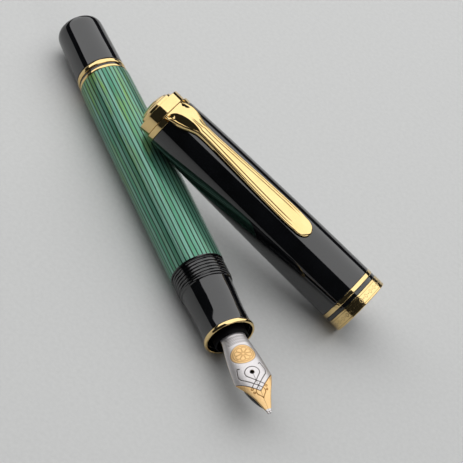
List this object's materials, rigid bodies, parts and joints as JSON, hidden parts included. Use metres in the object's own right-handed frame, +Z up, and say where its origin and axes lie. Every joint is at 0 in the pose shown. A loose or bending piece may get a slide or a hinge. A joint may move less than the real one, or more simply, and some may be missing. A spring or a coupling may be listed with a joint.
{
  "type": "fountain pen",
  "caption": "Piston-filling fountain pen with a striped barrel and an engraved nib, lying on its side with its clipped screw cap leaning on it.",
  "frame": {"origin": "on the table under the middle of the bounding box of pen and cap together", "axes": "+Z up from the table; +X is the horizontal direction of the cap's axis from its top to its lip; the pen's axis is horizontal and turned 33.55 degrees from +X towards -Y, knob to nib"},
  "size_m": [0.1046, 0.0718, 0.0283],
  "materials": {
    "black_resin": "polished",
    "striped_resin": "polished, striped along the pen",
    "green_resin": "clear polished green",
    "gold_trim": "polished gold plate",
    "nib_gold": "polished gold with engraved lines",
    "tipping_metal": "satin",
    "inner_brass": "turned",
    "black_plastic": "satin",
    "seal_plastic": "waxy",
    "gasket_rubber": "matte"
  },
  "bodies": {
    "pen_body": {"barrel_sleeve": "striped_resin", "ink_reservoir": "green_resin", "grip_section": "black_resin", "section_ring": "gold_trim", "guide_bush": "inner_brass", "bush_gasket": "gasket_rubber", "spacer_ring": "black_resin", "barrel_ring": "gold_trim"},
    "knob_carrier": {"knob_ring": "gold_trim"},
    "knob": {"piston_knob": "black_resin", "spindle": "inner_brass"},
    "piston": {"piston_rod": "black_plastic", "piston_seal": "seal_plastic"},
    "nib_carrier": {"nib_collar": "black_plastic"},
    "nib_unit": {"nib": "nib_gold", "nib_tipping": "tipping_metal", "feed": "black_plastic"},
    "cap": {"cap_tube": "black_resin", "cap_liner": "black_plastic", "collar_ring": "gold_trim", "clip_ring": "gold_trim", "finial": "gold_trim", "finial_nut": "inner_brass", "thin_band": "gold_trim", "lip_band": "gold_trim"},
    "clip": {"clip_arm": "gold_trim"}
  },
  "joints": [
    {"name": "piston_travel", "type": "slide", "parent": "pen_body", "child": "piston", "axis": [0.8334, -0.5527, 0], "range_m": [0, 0.01925]},
    {"name": "knob_travel", "type": "slide", "parent": "pen_body", "child": "knob_carrier", "axis": [-0.8334, 0.5527, 0], "range_m": [0, 0.0049]},
    {"name": "knob_turn", "type": "hinge", "parent": "knob_carrier", "child": "knob", "pos_m": [-0.0434, 0.02756, 0.00672], "axis": [-0.8334, 0.5527, 0], "range_deg": [0, 1260]},
    {"name": "nib_unit_travel", "type": "slide", "parent": "pen_body", "child": "nib_carrier", "axis": [0.8334, -0.5527, 0], "range_m": [0, 0.003]},
    {"name": "nib_unit_turn", "type": "hinge", "parent": "nib_carrier", "child": "nib_unit", "pos_m": [0.0291, -0.02052, 0.00672], "axis": [0.8334, -0.5527, 0], "range_deg": [0, 1440]},
    {"name": "cap_lift", "type": "slide", "parent": "pen_body", "child": "cap", "axis": [0, 0, 1], "range_m": [0, 0.05]},
    {"name": "clip_flex", "type": "hinge", "parent": "cap", "child": "clip", "pos_m": [-0.01024, 0.00737, 0.02665], "axis": [-0.0581, -0.9598, -0.2746], "range_deg": [0, 3], "stiffness_Nm_per_rad": 1}
  ],
  "couplings": [
    {"joint": "knob_turn", "follows": "piston_travel", "rad_per_m": 1142.4},
    {"joint": "knob_travel", "follows": "piston_travel", "ratio": 0.25455},
    {"joint": "nib_unit_turn", "follows": "nib_unit_travel", "rad_per_m": 8377.6}
  ]
}
